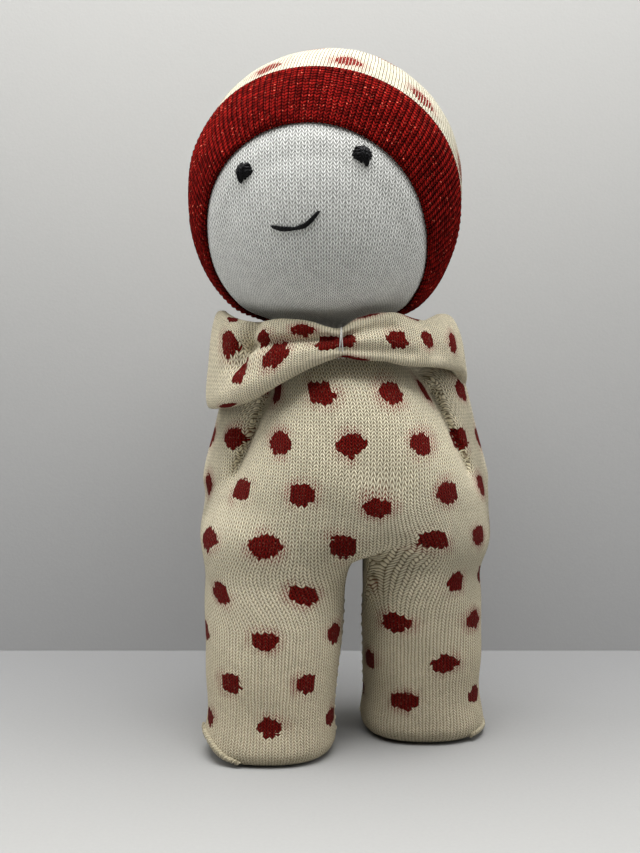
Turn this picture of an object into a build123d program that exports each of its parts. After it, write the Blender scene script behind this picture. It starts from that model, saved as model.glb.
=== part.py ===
from build123d import *
import os
from math import asin, cos, degrees, radians, sin, sqrt

# A stuffed sock doll that stands on its own flat feet. Millimetres, +Z up, front towards -Y,
# origin on the ground under the middle of the doll.

os.makedirs("parts", exist_ok=True)

# ---------------------------------------------------------------- driving dimensions
KNIT = 1.2                      # thickness of one layer of sock knit
EASE = 0.15                     # gap between a skin and the stuffing inside it
RUN = 0.4                       # clearance between pieces of different bodies
THREAD = 0.6                    # radius of the sewing thread, doubled
SINK = 0.3                      # how far a stitch's middle lies under the knit's surface

HEAD = Vector(-4.5, -1.0, 192.3)    # centre of the ball head
HEAD_R = 46.0
NECK = Vector(-3.0, -1.0, 141.5)    # centre of the tied neck, where the head turns and nods
NECK_BALL_R = 7.0
NECK_STEM_R = 4.5
NECK_PLUG_R = 9.0
HEAD_LEAN = 12.0                # degrees that the head leans at most, any way

HAT_AXIS = Vector(-0.1405, -0.797, -0.588).normalized()     # out of the hat's mouth
HAT_GAP = 0.4                   # crown over head
CUFF_THICK = 2.2
CROWN_THICK = 1.6
CUFF_MOUTH = 57.0               # degrees from HAT_AXIS to the cuff's rolled edge
CUFF_END = 84.5                 # degrees from HAT_AXIS to where the rib ends

HIP_Z = 58.5                    # hip axis, along X through Y = 0
HIP_R = 26.0

# Torso cross-sections: height, middle X, half width, half depth
TORSO = [
    (62.5, 3.1, 47.5, 28.0),
    (76.5, 3.1, 50.0, 32.5),
    (90.5, 2.8, 48.0, 35.0),
    (102.5, 2.4, 44.0, 35.0),
    (114.5, 2.0, 39.5, 34.0),
    (124.5, 1.4, 34.5, 31.0),
    (132.5, 0.4, 28.5, 25.5),
    (140.0, -1.0, 20.0, 16.0),
]
ARM_R = 11.5
LEFT_SHOULDER, LEFT_HAND = Vector(-27.0, 3.0, 120.5), Vector(-34.5, 2.0, 97.5)
RIGHT_SHOULDER, RIGHT_HAND = Vector(31.0, 3.0, 120.5), Vector(39.0, 2.0, 97.5)

# Legs: sole middle X and Y, sole width, hip middle X, hip width; both soles are this deep
SOLE_DEPTH = 46.0
LEFT_LEG = (-24.1, -14.0, 44.2, -22.3, 48.6)
RIGHT_LEG = (30.75, 8.0, 43.7, 31.0, 44.0)
GUSSET_X = (2.9, 8.1)           # the crotch piece between the two hips
CROTCH_Z = 63.5

SCARF_X = 0.6                   # middle of the scarf's ring
SCARF_THICK = 6.5
SCARF_LOW, SCARF_HIGH = 114.5, 152.5
SCARF_LOW_SIZE, SCARF_HIGH_SIZE = (46.5, 36.0), (39.5, 31.0)
PINCH_LOW, PINCH_HIGH = 135.5, 143.5


# ---------------------------------------------------------------- shared shapes
def save(builder, name):
    """Label a finished piece and write it under its node name."""
    builder.part.label = name
    export_step(builder.part, f"parts/{name}.step")


def capsule(start, end, radius):
    """A round-ended rod from start to end, as one revolved solid."""
    along = (end - start).normalized()
    side = along.cross(Vector(0, 0, 1) if abs(along.Z) < 0.9 else Vector(1, 0, 0)).normalized()
    length = (end - start).length
    slant = radius * sqrt(0.5)
    with BuildPart() as rod:
        with BuildSketch(Plane(origin=start, x_dir=side, z_dir=side.cross(along))):
            with BuildLine():
                ThreePointArc((0, -radius), (slant, -slant), (radius, 0))
                Line((radius, 0), (radius, length))
                ThreePointArc((radius, length), (slant, length + slant), (0, length + radius))
                Line((0, length + radius), (0, -radius))
            make_face()
        revolve(axis=Axis(start, along))
    return rod.part


def thread_along(points, radius):
    """A stitch: a round thread on one arc through three points."""
    with BuildPart() as stitch:
        with BuildLine() as path:
            ThreePointArc(*points)
        with BuildSketch(Plane(origin=path.line @ 0, z_dir=path.line % 0)):
            Circle(radius)
        sweep()
    return stitch.part


def ring(centre, major, radius, axis=Vector(0, 0, 1)):
    """A loop of thread round an axis."""
    with BuildPart(Plane(origin=centre, z_dir=axis)) as loop:
        Torus(major, radius)
    return loop.part


def on_head(azimuth, elevation, radius):
    """A point over the head, azimuth from the front towards +X, both in degrees."""
    a, e = radians(azimuth), radians(elevation)
    return HEAD + Vector(sin(a) * cos(e), -cos(a) * cos(e), sin(e)) * radius


def torso_loft(inset):
    """The belly and chest, shrunk by inset all round."""
    last = len(TORSO) - 1
    with BuildPart() as form:
        for i, (z, middle, half_width, half_depth) in enumerate(TORSO):
            height = z + (inset if i == 0 else -inset if i == last else 0)
            with BuildSketch(Plane((middle, 0, height))):
                Ellipse(half_width - inset, half_depth - inset)
        loft()
    return form.part


def hip_room(grow):
    """What both hips sweep below the torso: a round channel with lips that open fore and aft."""
    radius = HIP_R + RUN + grow
    wide = 60.0
    with BuildPart() as room:
        with BuildSketch(Plane.YZ):
            with Locations((0, HIP_Z)):
                Circle(radius)
            with BuildLine():
                Polyline((-19 - grow, HIP_Z + 19.5 + grow), (-42, HIP_Z - 3 + grow), (-42, 0), (42, 0),
                         (42, HIP_Z - 10 + grow), (24 + grow, HIP_Z + 11.5 + grow), close=True)
            make_face()
        extrude(amount=wide, both=True)
    return room.part


def leg_form(leg, inset):
    """One leg from its flat sole to the round hip, shrunk by inset all round."""
    sole_x, sole_y, sole_width, hip_x, hip_width = leg
    hip_depth = 2 * HIP_R
    with BuildPart(Plane(origin=(hip_x, 0, HIP_Z), z_dir=(1, 0, 0))) as barrel:
        Cylinder(HIP_R - inset, hip_width - 2 * inset)
        fillet(barrel.edges().filter_by(GeomType.CIRCLE), 9 - inset)
    with BuildPart() as form:
        for z, shrink in ((inset, 3.0), (5.0, 0.0), (30.0, 0.0), (HIP_Z, 0.0)):
            t = z / HIP_Z
            width = sole_width + (hip_width - sole_width) * t - shrink - 2 * inset
            depth = SOLE_DEPTH + (hip_depth - SOLE_DEPTH) * t - shrink - 2 * inset
            middle = (sole_x + (hip_x - sole_x) * t, sole_y * (1 - t), z)
            with BuildSketch(Plane(middle)):
                RectangleRounded(width, depth, 15 - inset)
        loft(ruled=True)
        add(barrel.part)
    return form.part


def hat_shell(inner, outer, near, far):
    """A shell of the hat between two angles from its mouth's axis."""
    across = HAT_AXIS.cross(Vector(0, 0, 1)).normalized()
    middle = (near + far) / 2

    def spot(radius, angle):
        return radius * sin(radians(angle)), radius * cos(radians(angle))

    with BuildPart() as shell:
        with BuildSketch(Plane(origin=HEAD, x_dir=across, z_dir=across.cross(HAT_AXIS))):
            with BuildLine():
                ThreePointArc(spot(outer, near), spot(outer, middle), spot(outer, far))
                Line(spot(outer, far), spot(inner, far))
                ThreePointArc(spot(inner, far), spot(inner, middle), spot(inner, near))
                Line(spot(inner, near), spot(outer, near))
            make_face()
        revolve(axis=Axis(HEAD, HAT_AXIS))
    return shell.part


# ---------------------------------------------------------------- rooms cut for the moving head
hat_outer = HEAD_R + HAT_GAP + CUFF_THICK
lean_side = (HEAD - NECK).length * sin(radians(HEAD_LEAN)) + abs(HEAD.X - NECK.X)
lean_up = (HEAD - NECK).length * cos(radians(HEAD_LEAN))

with BuildPart() as head_room:
    with BuildSketch(Plane(origin=NECK, x_dir=(1, 0, 0), z_dir=(0, -1, 0))) as sweep_section:
        with Locations((lean_side, lean_up)):
            Circle(hat_outer + RUN)
        with Locations((lean_side / 2, lean_up)):
            Rectangle(lean_side, 2 * (hat_outer + RUN))
        with Locations((60, lean_up)):
            Rectangle(120, 160, mode=Mode.INTERSECT)
    revolve(axis=Axis(NECK, (0, 0, 1)))

tie_major = NECK_BALL_R + 2 * RUN + KNIT + THREAD
with BuildPart() as neck_room:
    with Locations(NECK):
        Sphere(tie_major + 2 * THREAD + RUN)
        Cylinder(NECK_STEM_R + RUN, 20, align=(Align.CENTER, Align.CENTER, Align.MAX))
    with Locations(NECK - Vector(0, 0, 20)):
        Cylinder(NECK_PLUG_R + RUN, 10 + 2 * RUN)

# ---------------------------------------------------------------- torso
torso_outer = torso_loft(0)
torso_inner = torso_loft(KNIT)
torso_stuffed = torso_loft(KNIT + EASE)
arms = [(LEFT_SHOULDER, LEFT_HAND), (RIGHT_SHOULDER, RIGHT_HAND)]
arm_outers = [capsule(shoulder, hand, ARM_R) for shoulder, hand in arms]
arm_inners = [capsule(shoulder, hand, ARM_R - KNIT) for shoulder, hand in arms]
arm_rooms = [capsule(shoulder, hand, ARM_R + EASE) for shoulder, hand in arms]
hips_outer = hip_room(0)
hips_inner = hip_room(KNIT)
hips_stuffed = hip_room(KNIT + EASE)

with BuildPart() as torso_cavity:
    add(torso_inner)
    add(hips_inner, mode=Mode.SUBTRACT)
    add(arm_outers, mode=Mode.SUBTRACT)

with BuildPart() as gusset:
    with BuildSketch(Plane.YZ.offset(GUSSET_X[0])):
        with Locations((0, CROTCH_Z + 22)):
            Circle(22)
    extrude(amount=GUSSET_X[1] - GUSSET_X[0])
    add(hips_outer, mode=Mode.INTERSECT)

with BuildPart() as torso_skin:
    add(torso_outer)
    add(arm_outers)
    add(hips_outer, mode=Mode.SUBTRACT)
    add(gusset.part)
    add(torso_cavity.part, mode=Mode.SUBTRACT)
    add(arm_inners, mode=Mode.SUBTRACT)
    add(neck_room.part, mode=Mode.SUBTRACT)
save(torso_skin, "torso_skin")

with BuildPart() as torso_filling:
    add(torso_stuffed)
    add(hips_stuffed, mode=Mode.SUBTRACT)
    add(arm_rooms, mode=Mode.SUBTRACT)
    add(neck_room.part, mode=Mode.SUBTRACT)
save(torso_filling, "torso_filling")


def torso_front(x, z):
    """Half depth of the torso at a height and a distance from its middle."""
    for low, high in zip(TORSO, TORSO[1:]):
        if low[0] <= z <= high[0]:
            t = (z - low[0]) / (high[0] - low[0])
            middle, half_width, half_depth = (low[k] + (high[k] - low[k]) * t for k in (1, 2, 3))
            return half_depth * sqrt(max(0.0, 1 - ((x - middle) / half_width) ** 2))
    return 0.0


# The arms are flaps of the body, closed off by a slanting row of stitches in front and behind.
ARM_STITCHES = 7
STITCH_LONG = 3.0
arm_rows = {"left": ((-24.0, 116.5), (-34.0, 95.5)), "right": ((29.0, 116.5), (40.0, 93.5))}
for side, (shoulder, hand) in zip(("left", "right"), arms):
    with BuildPart() as arm_filling:
        add(capsule(shoulder, hand, ARM_R - KNIT - EASE))
    save(arm_filling, f"{side}_arm_filling")

    (top_x, top_z), (low_x, low_z) = arm_rows[side]
    step = Vector(low_x - top_x, 0, low_z - top_z) / (ARM_STITCHES - 1)
    half = step.normalized() * STITCH_LONG / 2
    bars = []
    for i in range(ARM_STITCHES):
        x, z = top_x + step.X * i, top_z + step.Z * i
        for face in (-1, 1):
            spot = Vector(x, face * (torso_front(x, z) - SINK), z)
            bars.append(capsule(spot - half, spot + half, THREAD))
    with BuildPart() as arm_stitches:
        add(bars)
    save(arm_stitches, f"{side}_arm_stitches")

with BuildPart() as neck_drawstring:
    add(ring(Vector(NECK.X, NECK.Y, TORSO[-1][0]), 13.0, THREAD))
save(neck_drawstring, "neck_drawstring")

# ---------------------------------------------------------------- neck and head
with BuildPart() as neck_stub:
    with Locations(NECK):
        Sphere(NECK_BALL_R)
        Cylinder(NECK_STEM_R, 20, align=(Align.CENTER, Align.CENTER, Align.MAX))
    with Locations(NECK - Vector(0, 0, 20)):
        Cylinder(NECK_PLUG_R, 10)
save(neck_stub, "neck_stub")

TIE_TURNS = 3
tie_rings = [ring(NECK + Vector(0, 0, 2 * THREAD * (i - 1)), tie_major, THREAD) for i in range(TIE_TURNS)]
with BuildPart() as neck_tie:
    add(tie_rings)
save(neck_tie, "neck_tie")

# The head's knit runs down over the neck ball as a collar, which the tie goes round.
collar_inner = NECK_BALL_R + RUN
stem_angle = degrees(asin((NECK_STEM_R + RUN) / collar_inner)) + HEAD_LEAN
collar_low = NECK.Z - collar_inner * cos(radians(stem_angle))
with BuildPart() as collar:
    with Locations(NECK):
        Sphere(collar_inner + KNIT)
    with Locations(Vector(NECK.X, NECK.Y, collar_low)):
        Cylinder(20, 40, align=(Align.CENTER, Align.CENTER, Align.MIN), mode=Mode.INTERSECT)

with BuildPart() as head_skin:
    with Locations(HEAD):
        Sphere(HEAD_R)
    add(collar.part)
    with Locations(HEAD):
        Sphere(HEAD_R - KNIT, mode=Mode.SUBTRACT)
    with Locations(NECK):
        Sphere(collar_inner, mode=Mode.SUBTRACT)
save(head_skin, "head_skin")

with BuildPart() as head_filling:
    with Locations(HEAD):
        Sphere(HEAD_R - KNIT - EASE)
    with Locations(NECK):
        Sphere(collar_inner + KNIT + EASE, mode=Mode.SUBTRACT)
save(head_filling, "head_filling")

# Each eye is a knot of crossed stitches; the smile is two stitches end to end.
eyes = {"left": (-34.1, 1.7), "right": (13.6, 6.9)}
EYE_STITCHES = (((-2.3, 0.8), (2.2, 0.2), 1.3), ((-0.9, -2.4), (1.0, 2.1), 1.2), ((1.4, -2.9), (-0.4, 1.6), 1.0))
for side, (azimuth, elevation) in eyes.items():
    strands = []
    for start, end, radius in EYE_STITCHES:
        ends = [on_head(azimuth + across, elevation + up, HEAD_R + SINK) for across, up in (start, end)]
        strands.append(capsule(*ends, radius))
    with BuildPart() as eye:
        add(strands)
    save(eye, f"{side}_eye")

SMILE = [((-23.5, -19.3), (-18.5, -20.6), (-13.5, -19.9)), ((-13.5, -19.9), (-8.3, -18.2), (-4.0, -14.7))]
smile_stitches = [thread_along([on_head(a, e, HEAD_R + SINK) for a, e in spots], 0.8) for spots in SMILE]
with BuildPart() as mouth_stitch:
    add(smile_stitches)
save(mouth_stitch, "mouth_stitch")

# ---------------------------------------------------------------- hat
crown_inner = HEAD_R + HAT_GAP
crown_outer = crown_inner + CROWN_THICK
with BuildPart() as nape:
    with Locations(NECK):
        Cylinder(15, 24)
cuff_shell = hat_shell(HEAD_R + HAT_GAP, hat_outer, CUFF_MOUTH, CUFF_END)
crown_shell = hat_shell(crown_inner, crown_outer, CUFF_END, 180)

with BuildPart() as hat_cuff:
    add(cuff_shell)
    add(nape.part, mode=Mode.SUBTRACT)
save(hat_cuff, "hat_cuff")

with BuildPart() as hat_crown:
    add(crown_shell)
save(hat_crown, "hat_crown")

with BuildPart() as hat_gather_thread:
    add(ring(HEAD - HAT_AXIS * crown_outer, 4.0, 2 * THREAD, HAT_AXIS))
save(hat_gather_thread, "hat_gather_thread")

# ---------------------------------------------------------------- scarf
torso_grown = torso_loft(-RUN)
with BuildPart() as scarf_body:
    with BuildSketch(Plane.XZ):
        with BuildLine():
            Polyline((SCARF_X, PINCH_LOW), (-24.6, 124.0), (-46, 117.3), (-48, 117.5), (-48, 151.0), (-41, 151.0),
                     (-26, 147.0), (-8, 148.0), (SCARF_X, PINCH_HIGH), (6, 149.0), (24, 149.0), (35, 152.3),
                     (48, 152.0), (48, 124.3), (44, 130.4), (21, 132.7), close=True)
        make_face()
    extrude(amount=45)
    with BuildSketch(Plane.XZ):
        with BuildLine():
            Polyline((-48, 118.5), (-30, 123.5), (0, 125.5), (30, 125.5), (48, 124.3), (48, 148.5), (36, 145.0),
                     (0, 143.5), (-36, 144.5), (-48, 148.5), close=True)
        make_face()
    extrude(amount=-45)

with BuildPart() as scarf:
    for inset, mode in ((0, Mode.ADD), (SCARF_THICK, Mode.SUBTRACT)):
        for z, (half_width, half_depth) in ((SCARF_LOW, SCARF_LOW_SIZE), (SCARF_HIGH, SCARF_HIGH_SIZE)):
            with BuildSketch(Plane((SCARF_X, 0, z))):
                Ellipse(half_width - inset, half_depth - inset)
        loft(ruled=True, mode=mode)
    add(head_room.part, mode=Mode.SUBTRACT)
    add(torso_grown, mode=Mode.SUBTRACT)
    add([capsule(shoulder, hand, ARM_R + RUN) for shoulder, hand in arms], mode=Mode.SUBTRACT)
    add(scarf_body.part, mode=Mode.INTERSECT)
save(scarf, "scarf")

# Three turns of white thread draw the scarf in at the front.
GATHER_TURNS = 3
GATHER_PITCH = 1.4
gather_front = -SCARF_HIGH_SIZE[1] - 3.0
gather_middle = (PINCH_LOW + PINCH_HIGH) / 2
with BuildPart() as scarf_gather_thread:
    for i in range(GATHER_TURNS):
        with BuildLine() as loop_path:
            with BuildSketch(Plane.YZ.offset(SCARF_X + GATHER_PITCH * (i - 1))) as loop_shape:
                with Locations((gather_front + SCARF_THICK / 2, gather_middle)):
                    RectangleRounded(SCARF_THICK + 2 * THREAD, PINCH_HIGH - PINCH_LOW + THREAD, 2.5)
            add(loop_shape.sketch.face().outer_wire().edges())
        with BuildSketch(Plane(origin=loop_path.line @ 0, z_dir=loop_path.line % 0)):
            Circle(THREAD)
        sweep(path=loop_path.line)
save(scarf_gather_thread, "scarf_gather_thread")

# The scarf's ends are joined behind by a short upright row of stitches.
JOIN_STITCHES = 5
JOIN_LOW, JOIN_STEP = 128.5, 3.4
join_bars = []
for i in range(JOIN_STITCHES):
    z = JOIN_LOW + JOIN_STEP * i
    t = (z - SCARF_LOW) / (SCARF_HIGH - SCARF_LOW)
    back = SCARF_LOW_SIZE[1] + (SCARF_HIGH_SIZE[1] - SCARF_LOW_SIZE[1]) * t - SINK
    join_bars.append(capsule(Vector(SCARF_X - 1.6, back, z - 0.8), Vector(SCARF_X + 1.6, back, z + 0.8), THREAD))
with BuildPart() as scarf_join_stitches:
    add(join_bars)
save(scarf_join_stitches, "scarf_join_stitches")

# ---------------------------------------------------------------- legs
INSEAM_STITCHES = 8
INSEAM_LOW, INSEAM_STEP = 8.0, 5.4
TOE_SEAM_Z = 2.4
for side, leg, inner in (("left", LEFT_LEG, 1), ("right", RIGHT_LEG, -1)):
    sole_x, sole_y, sole_width, hip_x, hip_width = leg
    leg_outer = leg_form(leg, 0)
    leg_inner = leg_form(leg, KNIT)
    leg_stuffed = leg_form(leg, KNIT + EASE)

    with BuildPart() as leg_skin:
        add(leg_outer)
        add(leg_inner, mode=Mode.SUBTRACT)
    save(leg_skin, f"{side}_leg_skin")

    with BuildPart() as leg_filling:
        add(leg_stuffed)
    save(leg_filling, f"{side}_leg_filling")

    bars = []
    for i in range(INSEAM_STITCHES):
        z = INSEAM_LOW + INSEAM_STEP * i
        t = z / HIP_Z
        half_width = (sole_width + (hip_width - sole_width) * t) / 2
        shaft_face = inner * (sole_x + (hip_x - sole_x) * t) + half_width
        hip_face = inner * hip_x + hip_width / 2
        x = inner * ((hip_face if HIP_Z - z < HIP_R - 6 else shaft_face) - SINK)
        y = sole_y * (1 - t)
        bars.append(capsule(Vector(x, y - 1.2, z - 1.0), Vector(x, y + 1.2, z + 1.0), THREAD))
    with BuildPart() as inseam_stitches:
        add(bars)
    save(inseam_stitches, f"{side}_inseam_stitches")

    # The toe's linked seam is a low ridge along the outer edge of the foot.
    edge_x = sole_x - inner * (sole_width / 2 - 1.0)
    with BuildPart() as toe_seam:
        add(capsule(Vector(edge_x, sole_y - 8, TOE_SEAM_Z), Vector(edge_x, sole_y + 8, TOE_SEAM_Z), 1.0))
    save(toe_seam, f"{side}_toe_seam")
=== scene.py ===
import bpy
from math import cos, pi, radians, sin

import numpy as np
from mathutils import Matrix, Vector


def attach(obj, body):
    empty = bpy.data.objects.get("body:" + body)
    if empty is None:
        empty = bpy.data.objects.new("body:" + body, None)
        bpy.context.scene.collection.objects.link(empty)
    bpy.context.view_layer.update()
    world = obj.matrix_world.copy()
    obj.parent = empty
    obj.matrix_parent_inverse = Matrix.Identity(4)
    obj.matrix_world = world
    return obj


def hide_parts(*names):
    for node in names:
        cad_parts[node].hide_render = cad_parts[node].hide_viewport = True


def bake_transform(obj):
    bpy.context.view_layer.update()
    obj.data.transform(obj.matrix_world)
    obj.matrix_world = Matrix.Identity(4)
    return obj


# Looks for the stuffed sock doll. Lengths below are millimetres in the CAD frame: +Z up, front -Y.
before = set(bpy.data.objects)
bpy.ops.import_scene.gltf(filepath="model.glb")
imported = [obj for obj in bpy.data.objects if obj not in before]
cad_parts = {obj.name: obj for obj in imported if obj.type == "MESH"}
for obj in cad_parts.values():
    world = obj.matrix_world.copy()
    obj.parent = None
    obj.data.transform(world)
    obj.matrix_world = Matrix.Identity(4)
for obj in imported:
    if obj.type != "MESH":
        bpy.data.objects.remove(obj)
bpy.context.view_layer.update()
MM = 0.001


def new_object(name, data):
    """An object that shows the data, linked to the scene."""
    obj = bpy.data.objects.new(name, data)
    bpy.context.scene.collection.objects.link(obj)
    return obj


# ---------------------------------------------------------------- camera
camera = new_object("camera", bpy.data.cameras.new("camera"))
camera.location = (-6.57 * MM, -390 * MM, 138.0 * MM)
camera.rotation_euler = (radians(90 - 4), 0, 0)
camera.data.sensor_width = 36
camera.data.lens = 46.424385
camera.data.clip_start = 0.01
bpy.context.scene.camera = camera
bpy.context.scene.view_settings.view_transform = "Standard"

# ---------------------------------------------------------------- driving values, as in the CAD
HEAD, HEAD_R = np.array((-4.5, -1.0, 192.3)), 46.0
NECK = np.array((-3.0, -1.0, 141.5))
# The way out of the hat, from its gathered back to its mouth
HAT_AXIS = np.array((-0.1405, -0.797, -0.588))
HAT_AXIS = HAT_AXIS / np.linalg.norm(HAT_AXIS)
# Where the cuff begins and ends, in degrees from the hat's axis
CUFF_MOUTH, CUFF_END = 57.0, 84.5
CUFF_R, CROWN_R, HAT_INNER = 48.6, 48.0, 46.4
HIP_Z = 58.5
# Torso: Z, middle X, half width and half depth
TORSO = np.array((
    (58.0, 3.1, 47.5, 28.0), (62.5, 3.1, 49.0, 29.5), (76.5, 3.1, 50.4, 33.0), (84.0, 3.6, 49.0, 34.5),
    (90.5, 4.2, 45.5, 35.5), (97.0, 4.6, 42.0, 35.7), (106.0, 4.7, 38.0, 35.5), (117.8, 4.6, 33.0, 33.5),
    (124.5, 3.5, 29.5, 31.0), (132.5, 0.8, 24.5, 25.5), (140.0, -1.0, 20.0, 17.0), (146.0, -2.0, 14.0, 12.0)))
# Arms: upper and lower end of each, then the radius
ARMS = (((-27.6, 3.0, 121.5), (-35.6, 3.0, 91.5)), ((32.6, 3.0, 121.5), (40.6, 3.0, 91.5)))
ARM_R = 13.2
# Where the belly meets the arms in front: X and Z from under the scarf downwards
ARM_CREASES = (((-24.0, 123.5), (-30.8, 106.0), (-34.6, 98.0), (-36.2, 92.0)),
               ((32.4, 123.5), (40.3, 106.0), (44.0, 98.0), (45.6, 92.0)))
# Legs: sole middle X and Y, half width, half depth, then the same at the hip
LEGS = {"left": (-24.1, -14.0, 22.1, 23.0, -22.3, -3.5, 24.6, 26.5),
        "right": (30.75, 8.0, 21.8, 23.0, 29.6, 2.0, 20.8, 24.0)}
BETWEEN_LEGS = 5.5
# Where the suit is cut into torso and legs
SPLIT_Z = 62.5
# The suit's dots: degrees and wales from dot to dot in a row, and courses from row to row
DOT_STEP, DOT_WALES, ROW_COURSES = 30.0, 12, 14
# Row 0 lies at ROW_TOP_Z, and the rows come a little closer downwards
ROW_TOP_Z, ROW_GAP, ROW_CLOSING = 123.9, 17.1, 0.245
SCARF_X, SCARF_THICK = 0.6, 6.5
# The scarf's ring low and high: Z, half width and half depth
SCARF_LOW, SCARF_HIGH = (114.5, 48.6, 36.0), (152.5, 42.4, 31.0)


# ---------------------------------------------------------------- formulas in a node tree
def sign(kind, swapped=False):
    """The method for an arithmetic sign between two numbers of a tree."""
    def method(self, other):
        return calc(self.tree, kind, *((other, self) if swapped else (self, other)))
    return method


class Expr:
    """A number in a material's node tree, so that a pattern can be written as a formula."""

    def __init__(self, tree, socket):
        self.tree, self.socket = tree, socket

    def fn(self, kind, *others):
        return calc(self.tree, kind, self, *others)

    __add__, __radd__ = sign("ADD"), sign("ADD", swapped=True)
    __sub__, __rsub__ = sign("SUBTRACT"), sign("SUBTRACT", swapped=True)
    __mul__, __rmul__ = sign("MULTIPLY"), sign("MULTIPLY", swapped=True)
    __truediv__ = sign("DIVIDE")
    __lt__, __gt__ = sign("LESS_THAN"), sign("GREATER_THAN")


def fill_inputs(node, values):
    """Link each input of a node to a number of the tree, or set it."""
    for slot, value in zip(node.inputs, values):
        if isinstance(value, Expr):
            node.id_data.links.new(value.socket, slot)
        else:
            slot.default_value = value


def calc(tree, kind, *values):
    node = tree.nodes.new("ShaderNodeMath")
    node.operation = kind
    fill_inputs(node, values)
    return Expr(tree, node.outputs[0])


def smooth(value, low, high):
    """0 below low, 1 above high, smooth between."""
    node = value.tree.nodes.new("ShaderNodeMapRange")
    node.interpolation_type = "SMOOTHSTEP"
    value.tree.links.new(value.socket, node.inputs["Value"])
    node.inputs["From Min"].default_value = low
    node.inputs["From Max"].default_value = high
    return Expr(value.tree, node.outputs["Result"])


def random_at(tree, *parts):
    """A random number for each whole-number place."""
    place = tree.nodes.new("ShaderNodeCombineXYZ")
    fill_inputs(place, parts)
    node = tree.nodes.new("ShaderNodeTexWhiteNoise")
    node.noise_dimensions = "3D"
    tree.links.new(place.outputs[0], node.inputs["Vector"])
    return Expr(tree, node.outputs["Value"])


def noise_at(tree, scale, detail=2.0):
    node = tree.nodes.new("ShaderNodeTexNoise")
    node.inputs["Scale"].default_value = scale
    node.inputs["Detail"].default_value = detail
    tree.links.new(tree.nodes.new("ShaderNodeTexCoord").outputs["Object"], node.inputs["Vector"])
    return Expr(tree, node.outputs["Fac"])


# Sockets of the mix node that carry its factor and its colours
MIX_AMOUNT, MIX_LOW, MIX_HIGH, MIX_RESULT = 0, 6, 7, 2


def colour_mix(tree, amount, low, high):
    """The colour low where amount is 0 and high where it is 1. Each is a colour or a socket."""
    node = tree.nodes.new("ShaderNodeMix")
    node.data_type = "RGBA"
    tree.links.new(amount.socket, node.inputs[MIX_AMOUNT])
    for slot, colour in ((node.inputs[MIX_LOW], low), (node.inputs[MIX_HIGH], high)):
        if isinstance(colour, bpy.types.NodeSocket):
            tree.links.new(colour, slot)
        else:
            slot.default_value = (*colour, 1.0)
    return node.outputs[MIX_RESULT]


def knit_place(tree):
    """A piece's own coordinates: wale and course on knit, turn and length on thread."""
    uv = tree.nodes.new("ShaderNodeUVMap")
    uv.uv_map = "knit"
    parts = tree.nodes.new("ShaderNodeSeparateXYZ")
    tree.links.new(uv.outputs[0], parts.inputs[0])
    return Expr(tree, parts.outputs[0]), Expr(tree, parts.outputs[1])


def new_material(name, roughness=0.9, sheen=0.25, specular=0.25):
    material = bpy.data.materials.new(name)
    material.use_nodes = True
    tree = material.node_tree
    shader = tree.nodes["Principled BSDF"]
    shader.inputs["Roughness"].default_value = roughness
    shader.inputs["Specular IOR Level"].default_value = specular
    shader.inputs["Sheen Weight"].default_value = sheen
    shader.inputs["Sheen Roughness"].default_value = 0.5
    return material, tree, shader


def bump_from(tree, shader, height, distance_mm, strength=1.0):
    bump = tree.nodes.new("ShaderNodeBump")
    bump.inputs["Distance"].default_value = distance_mm * MM
    bump.inputs["Strength"].default_value = strength
    tree.links.new(height.socket, bump.inputs["Height"])
    tree.links.new(bump.outputs["Normal"], shader.inputs["Normal"])


# ---------------------------------------------------------------- knit materials
# Cream yarn and the painted shade in the gaps between its stitches, then the dots' red and the painted shade
# between the red stitches
CREAM, CREAM_GAP_SHADE = (0.88, 0.80, 0.60), (0.165, 0.13, 0.07)
DOT_RED, DOT_GAP_SHADE = (0.17, 0.0055, 0.003), (0.016, 0.0008, 0.0004)
# The first colour is orange red for the painted glints of the glitter fibres
# The second colour is a warmer, darker yarn tone for the legs, partly their own tone and partly painted shade
GLITTER_GLINT_RED, WARM_SHADE_TONE = (0.60, 0.13, 0.08), (0.70, 0.56, 0.36)
# Pale yarn that shows between the red stitches, and red that shines through round a dot
PEEP, BLUSH = (0.42, 0.25, 0.17), (0.19, 0.012, 0.009)
# Degrees by which each row of the suit's dots is turned
ROW_DRIFT = (2.9, -1.5, -5.2, -2.7, -4.3, -8.0, -6.0, -5.0)
# The hat's dots: wales from dot to dot, courses from row to row and the first row's course
HAT_DOT_WALES, HAT_ROW_COURSES, HAT_FIRST_ROW = 24.0, 9.6, 4.4
# How far noise pushes the stitches, in stitches
WOBBLE = 0.35


def from_middle(across, half_width, up, half_height):
    """Distance from an oval's middle, 1 at its edge."""
    return ((across / half_width).fn("POWER", 2.0) + (up / half_height).fn("POWER", 2.0)).fn("SQRT")


def suit_dots(tree, u, v):
    """Distance from the nearest dot of the suit's lattice, 1 at a dot's edge."""
    row = (v / ROW_COURSES).fn("ROUND")
    odd = row.fn("FLOORED_MODULO", 2.0)
    drift = sum(row.fn("COMPARE", float(k), 0.5) * shift for k, shift in enumerate(ROW_DRIFT))
    turn = (u * (DOT_STEP / DOT_WALES) - drift) / DOT_STEP - (1.0 - odd) * 0.5
    nearest = turn.fn("ROUND")
    half_width = random_at(tree, row, nearest, 3.0) * 0.35 + 2.05 - (row > 3.5) * 0.32
    past_toes = (row > len(ROW_DRIFT) - 0.5) * 9.0
    return from_middle((turn - nearest) * DOT_WALES, half_width, v - row * ROW_COURSES, 3.2) + past_toes


def listed_dots(spots):
    """Dots at their own places: wale, course, half width and half height of each."""
    def nearest(tree, u, v):
        best = None
        for wale, course, wide, high in spots:
            reach = from_middle(u - wale, wide, v - course, high)
            best = reach if best is None else best.fn("MINIMUM", reach)
        return best
    return nearest


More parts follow.
